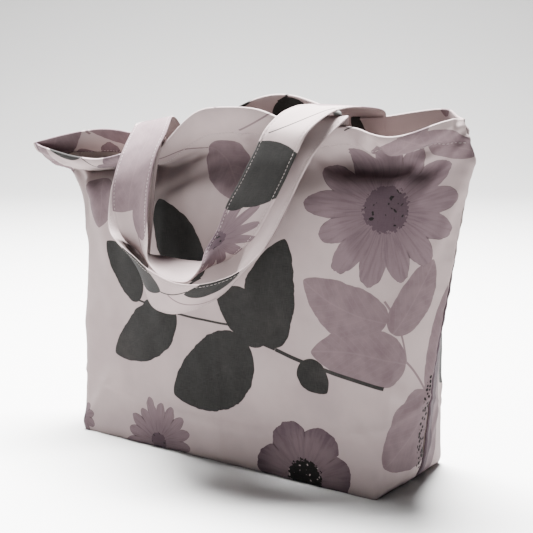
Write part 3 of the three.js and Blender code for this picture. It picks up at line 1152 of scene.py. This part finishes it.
def stitch_line(sheets, row, normal):
    """One thin thread along a short line of points."""
    around = np.linspace(0, 2 * math.pi, 5)
    forward = row[-1] - row[0]
    forward = forward / np.linalg.norm(forward)
    tube = row[:, None] + ring(around, forward, normal)[None] * OVERLOCK_RADIUS
    half = OVERLOCK_REACH / 2
    uv = np.stack(np.meshgrid(around * OVERLOCK_RADIUS, np.arange(len(row)) * half), axis=-1)
    sheets.grid(tube, uv)


def side_seam_edges(around, top, name, node):
    """The raw edges inside a side seam, up to a height."""
    up = np.linspace(SEAM_FOOT, top, 120)
    arounds = np.full(len(up), float(around))
    out = inward(arounds, up)
    line = bag_point(arounds, up) + out * (CLOTH + SEAM_LIFT)
    thick = np.tile((0.0, 1.0, 0.0), (len(up), 1))
    return edge_strip(line, out, thick, name, node)


def base_seam_edges(start, end, out, name, node):
    """The raw edges of a straight seam in the base."""
    share = np.linspace(0, 1, 90)[:, None]
    line = np.array(start, float) * (1 - share) + np.array(end, float) * share
    out = np.tile(np.array(out, float), (len(line), 1))
    thick = np.tile((0.0, 0.0, 1.0), (len(line), 1))
    return edge_strip(line, out, thick, name, node, waviness=0.2)


FLOOR_OF_BAG = CLOTH + 1.1
CORNER_X = 137
CORNER_REACH = 42
BASE_SEAM_REACH = 135
RIGHT_SEAM_TOP = 250
LEFT_SEAM_TOP = 205
seam_pieces = []
seam_pieces += side_seam_edges(1, RIGHT_SEAM_TOP, "right_seam_edges", "right_side_seam")
seam_pieces += side_seam_edges(3, LEFT_SEAM_TOP, "left_seam_edges", "left_side_seam")
seam_pieces += base_seam_edges(
    (-BASE_SEAM_REACH, 2, FLOOR_OF_BAG), (BASE_SEAM_REACH, 2, FLOOR_OF_BAG), (0, 1, 0),
    "base_seam_edges", "base_seam",
)
for side, sign in (("right", 1), ("left", -1)):
    seam_pieces += base_seam_edges(
        (sign * (CORNER_X + SEAM_ALLOWANCE), -CORNER_REACH, FLOOR_OF_BAG),
        (sign * (CORNER_X + SEAM_ALLOWANCE), CORNER_REACH, FLOOR_OF_BAG),
        (-sign, 0, 0), f"{side}_corner_edges", f"{side}_corner_seam",
    )

# ---- handles

# Where round the bag each handle's left and right ends are sewn, as in the CAD, and some
# heights up a sewn end.
SEWN_PLACES = {"front": (-0.335, 0.452), "back": (2.48, 1.492)}
SEWN_STEPS = (CLOTH_HEIGHT - SEWN_LENGTH, CLOTH_HEIGHT - 15, CLOTH_HEIGHT - 9, CLOTH_HEIGHT - 3)
SEWN_DEPTH = HEM_BACK + 0.35 + STRAP_THICKNESS / 2
RIM_CLEARANCE = 1.6
RIM_LIFT = (0, -1, STRAP_THICKNESS / 2 + RIM_CLEARANCE)

# Places along each handle's loop, from its left end to its right one, as in the CAD: one
# on its front edge and one on its rear edge, in millimetres.
FRONT_LOOP = (
    ((-92, -66, 225), (-53, -58, 235)), ((-96, -68, 205), (-56, -59, 209)),
    ((-91, -75, 187), (-58, -60, 184)), ((-73, -87, 179), (-60, -61, 163)),
    ((-48, -96, 171), (-56, -70, 143)), ((-26, -102, 163), (-41, -82, 130)),
    ((6, -105, 156), (-16, -88, 127)), ((33, -101, 159), (8, -83, 134)),
    ((53, -90, 169), (25, -71, 148)), ((66, -79, 185), (33, -63, 170)),
    ((77, -71, 209), (39, -60, 198)), ((88, -66, 235), (49, -59, 232)),
    ((100, -61, 258), (61, -57, 258)),
)
BACK_LOOP = (
    ((-58, -32, 274), (-96, -34, 266)), ((-46, -54, 264), (-84, -62, 250)),
    ((-45, -69, 245), (-82, -76, 230)), ((-44, -78, 222), (-81, -81, 209)),
    ((-41, -85, 201), (-77, -81, 191)), ((-36, -91, 183), (-70, -77, 177)),
    ((-31, -97, 168), (-60, -69, 168)), ((-20, -97, 158), (-45, -64, 166)),
    ((-4, -95, 154), (-26, -63, 165)), ((9, -97, 157), (-6, -62, 165)),
    ((17, -94, 167), (16, -65, 168)), ((14, -83, 179), (42, -75, 181)),
    ((20, -77, 193), (57, -77, 194)), ((28, -75, 213), (68, -76, 212)),
    ((39, -71, 234), (79, -74, 233)), ((49, -68, 254), (88, -73, 251)),
    ((57, -62, 273), (96, -68, 270)), ((66, -40, 286), (106, -42, 285)),
)


def sewn_points(around):
    """The strap's corner up its sewn end, from the bottom, and where it leaves that end."""
    ups = np.array(SEWN_STEPS, float)
    arounds = np.full(len(ups), around)
    sewn = bag_point(arounds, ups) + inward(arounds, ups) * SEWN_DEPTH
    top = np.array([float(CLOTH_HEIGHT)])
    at_top = np.array([around])
    root = bag_point(at_top, top) + inward(at_top, top) * (STRAP_SINK + STRAP_THICKNESS / 2)
    root[:, 2] += SWING_CLEARANCE
    return list(sewn) + list(root)


def over_rim(around):
    """Where a strap's corner rests on the rim."""
    return bag_point(around, CLOTH_HEIGHT) + np.array(RIM_LIFT)


def strap_edges(loop, places, front_sign, over):
    """The two edges of a strap from its left sewn end to its right one. front_sign says on
    which side of the left end's middle the front edge lies."""
    left, right = places
    front_left = left + front_sign * STRAP_REACH
    rear_left = left - front_sign * STRAP_REACH
    front_right = right + STRAP_REACH
    rear_right = right - STRAP_REACH
    edges = []
    for a, b, k in ((front_left, front_right, 0), (rear_left, rear_right, 1)):
        middle = [np.array(pair[k], float) for pair in loop]
        start = [over_rim(a)] if over else []
        end = [over_rim(b)] if over else []
        edges.append(np.array(sewn_points(a) + start + middle + end + sewn_points(b)[::-1]))
    return edges


def centripetal(points, index):
    """A smooth curve through the points, at fractions of their index."""
    last = len(points) - 1
    index = np.clip(index, 0, last)
    low = np.minimum(np.floor(index).astype(int), last - 1)
    weight = (index - low)[:, None]
    longer = np.stack([2 * points[0] - points[1], *points, 2 * points[-1] - points[-2]])
    before, a, b, after = (longer[low + k] for k in range(4))
    gaps = [np.maximum(1e-4, np.linalg.norm(q - p, axis=-1, keepdims=True) ** 0.5)
            for p, q in ((before, a), (a, b), (b, after))]
    d0, d1, d2 = gaps
    m1 = ((a - before) / d0 - (b - before) / (d0 + d1) + (b - a) / d1) * d1
    m2 = ((b - a) / d1 - (after - a) / (d1 + d2) + (after - b) / d2) * d1
    w2 = weight * weight
    w3 = w2 * weight
    curve = (2 * w3 - 3 * w2 + 1) * a + (w3 - 2 * w2 + weight) * m1
    return curve + (3 * w2 - 2 * w3) * b + (w3 - w2) * m2


# The strap waves slowly and twists a little, in millimetres.
STRAP_WAVE = 0.22
STRAP_TWIST = 0.1
STRAP_STEP = 1.6
EDGE_ROUNDING = 24
# How far aside in the print the strap's other face is.
OTHER_FACE = 120
# Across the strap, from its rear edge (-1) to its front edge (1): stitched close to both.
STITCH_LINE = 0.86
STITCH_DRAW = 0.26
STITCH_GROOVE = 0.05
ACROSS = np.array([-1, -0.985, -0.95, -0.91, -0.86, -0.81, -0.72, -0.5, -0.25,
                   0, 0.25, 0.5, 0.72, 0.81, 0.86, 0.91, 0.95, 0.985, 1])


def strap_half(across):
    """Half the strap's thickness: round at the edges, drawn in where it is stitched."""
    full = STRAP_THICKNESS / 2 * np.sqrt(np.clip(1 - np.abs(across) ** EDGE_ROUNDING, 0.04, 1))
    return full - STITCH_DRAW * bump(np.abs(across) - STITCH_LINE, STITCH_GROOVE)


def strap_wave(along, across):
    """How far the strap's middle stands out of its smooth shape."""
    twist = STRAP_TWIST * np.sin(along / 4.1 + 2) * across
    return STRAP_WAVE * np.sin(along / 9.0) * (1 - across ** 2) + twist


def strap_steps(edges, start, end):
    """Places between two in the strap's list of points, and the length along it to each."""
    front, rear = edges
    coarse = np.linspace(start, end, 600)
    middle = (centripetal(front, coarse) + centripetal(rear, coarse)) / 2
    return coarse, lengths(middle)


def make_strap(edges, start, end, name, pattern, first=0):
    """A stretch of strap between two places in its list of points, and its stitches. first is
    how far along the print the stretch starts, in millimetres."""
    front, rear = edges
    coarse, steps = strap_steps(edges, start, end)
    even = np.linspace(0, steps[-1], int(steps[-1] / STRAP_STEP) + 1)
    index = np.interp(even, steps, coarse)
    a = centripetal(front, index)
    b = centripetal(rear, index)
    ahead = centripetal(front, index + 0.1) + centripetal(rear, index + 0.1)
    ahead -= centripetal(front, index - 0.1) + centripetal(rear, index - 0.1)
    square = np.cross(ahead, a - b)
    square /= np.linalg.norm(square, axis=-1, keepdims=True)
    share = (ACROSS + 1) / 2
    body = b[:, None] + (a - b)[:, None] * share[None, :, None]
    ripple = strap_wave(even[:, None], ACROSS[None])
    half = strap_half(ACROSS)[None]
    sheets = Sheets()
    width = STRAP_WIDTH / 2
    skins = [body + square[:, None] * (ripple + side * half)[..., None] for side in (1, -1)]
    for skin, side, shift in zip(skins, (1, -1), (0, OTHER_FACE)):
        uv = np.stack(np.broadcast_arrays(side * ACROSS[None] * width + shift, even[:, None]), axis=-1)
        sheets.grid(skin[:, ::side], uv[:, ::side])
    for edge in (0, -1):
        wall = np.stack([skin[:, edge] for skin in skins], axis=1)
        uv = np.stack([np.stack([np.full(len(even), ACROSS[edge] * width), even], axis=-1)] * 2, axis=1)
        sheets.grid(wall, uv)
    for row in (0, -1):
        cap = np.stack([skin[row] for skin in (skins if row == 0 else skins[::-1])])
        uv = np.stack([np.stack([ACROSS * width, np.full(len(ACROSS), even[row])], axis=-1)] * 2)
        sheets.grid(cap, uv)
    cloth = cloth_material(name + "_print", pattern, (0, first))
    strap = sheets.build(name, [cloth])

    threads = Sheets()
    for line in (-STITCH_LINE, STITCH_LINE):
        for side in (1, -1):
            path = b + (a - b) * (line + 1) / 2
            depth = strap_wave(even, line) + side * strap_half(np.array(line))
            path = path + square * depth[:, None]
            place = resample(path, STITCH_PITCH)
            stitch_row(threads, at_index(path, place), side * at_index(square, place))
    stitches = threads.build(name + "_stitches", [stitch_thread])
    return [strap, stitches]


SEWN_POINTS = len(SEWN_STEPS) + 1
front_edges = strap_edges(FRONT_LOOP, SEWN_PLACES["front"], -1, over=True)
back_edges = strap_edges(BACK_LOOP, SEWN_PLACES["back"], -1, over=False)
front_last = len(front_edges[0]) - 1
back_last = len(back_edges[0]) - 1

joints = {joint["name"]: joint for joint in frame["joints"]}


def bend_at(pieces, joint, way):
    """Bakes each piece's transform into its mesh; the pieces are not bent. The joint's axis and
    the way, made square to the axis, are worked out but not used."""
    axis = Vector(joints[joint]["axis"]).normalized()
    way = Vector(way)
    way = (way - axis * way.dot(axis)).normalized()
    for piece in pieces:
        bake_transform(piece)


front_strap = make_strap(front_edges, 0, front_last, "front_handle_strap", FRONT_HANDLE)
bend_at(front_strap, "front_handle_lift", (0, -1, -0.3))
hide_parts("front_handle_loop", "front_handle_left_end", "front_handle_right_end")

FOLD_AT = SEWN_POINTS
FOLD_IN_PRINT = 60
left_length = strap_steps(back_edges, 0, FOLD_AT)[1][-1]
loop_length = strap_steps(back_edges, FOLD_AT, back_last - FOLD_AT)[1][-1]
left_strap = make_strap(
    back_edges, 0, FOLD_AT, "back_handle_left_strap", BACK_HANDLE, FOLD_IN_PRINT - left_length
)
right_strap = make_strap(
    back_edges, back_last - FOLD_AT, back_last, "back_handle_right_strap", BACK_HANDLE,
    FOLD_IN_PRINT + loop_length,
)
for side, strap in (("left", left_strap), ("right", right_strap)):
    bend_at(
        strap, "back_handle_lift", (0, -1, 0.4)
    )
    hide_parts(f"back_handle_{side}_end", f"back_handle_{side}_run")
loop_strap = make_strap(
    back_edges, FOLD_AT, back_last - FOLD_AT, "back_handle_strap", BACK_HANDLE, FOLD_IN_PRINT
)
bend_at(
    loop_strap, "back_handle_fold", (0, -1, -0.5),
)
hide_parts("back_handle_loop")

# ---- floor and light

FLOOR_COLOR = (0.48, 0.476, 0.472, 1.0)
FLOOR_ROUGHNESS = 0.75
ROOM_LIGHT = 0.1


def make_floor():
    """A floor that turns up into a backdrop behind the bag, as the camera sees it."""
    radius = 0.9
    depth = 2.6
    side = 6.0
    angles = np.linspace(0, math.pi / 2, 24)
    rows = [(-16.0, 0.0), (depth - radius, 0.0)]
    rows += [(depth - radius + radius * math.sin(a), radius - radius * math.cos(a)) for a in angles[1:]]
    rows.append((depth, 5.0))
    turn = Matrix.Rotation(CAMERA_AZIMUTH, 4, "Z")
    vertices = [turn @ Vector((x, y, z)) for y, z in rows for x in (-side, side)]
    faces = [(2 * i, 2 * i + 1, 2 * i + 3, 2 * i + 2) for i in range(len(rows) - 1)]
    mesh = bpy.data.meshes.new("floor")
    mesh.from_pydata(vertices, [], faces)
    mesh.polygons.foreach_set("use_smooth", np.ones(len(faces), bool))
    material = bpy.data.materials.new("paper")
    material.use_nodes = True
    shader = material.node_tree.nodes["Principled BSDF"]
    shader.inputs["Base Color"].default_value = FLOOR_COLOR
    shader.inputs["Roughness"].default_value = FLOOR_ROUGHNESS
    mesh.materials.append(material)
    add_object("floor", mesh)


def area_light(name, place, size, power):
    """A rectangular light, in metres and watts, that points at the middle of the bag."""
    data = bpy.data.lights.new(name, "AREA")
    data.shape = "RECTANGLE"
    data.size, data.size_y = size
    data.energy = power
    light = add_object(name, data)
    light.location = place
    way = Vector(MIDDLE) - Vector(place)
    light.rotation_euler = way.to_track_quat("-Z", "Y").to_euler()


def make_world():
    """Even white light from all round."""
    world = bpy.data.worlds.new("room")
    bpy.context.scene.world = world
    world.use_nodes = True
    background = world.node_tree.nodes["Background"]
    background.inputs["Color"].default_value = (1.0, 1.0, 1.0, 1.0)
    background.inputs["Strength"].default_value = ROOM_LIGHT


MIDDLE = (0, 0, 0.15)
make_floor()
make_world()
area_light("top", (-0.3, 0.3, 1.55), (1.0, 0.6), 600)
area_light("front_fill", (-0.9, -1.4, 1.5), (0.8, 0.8), 9)
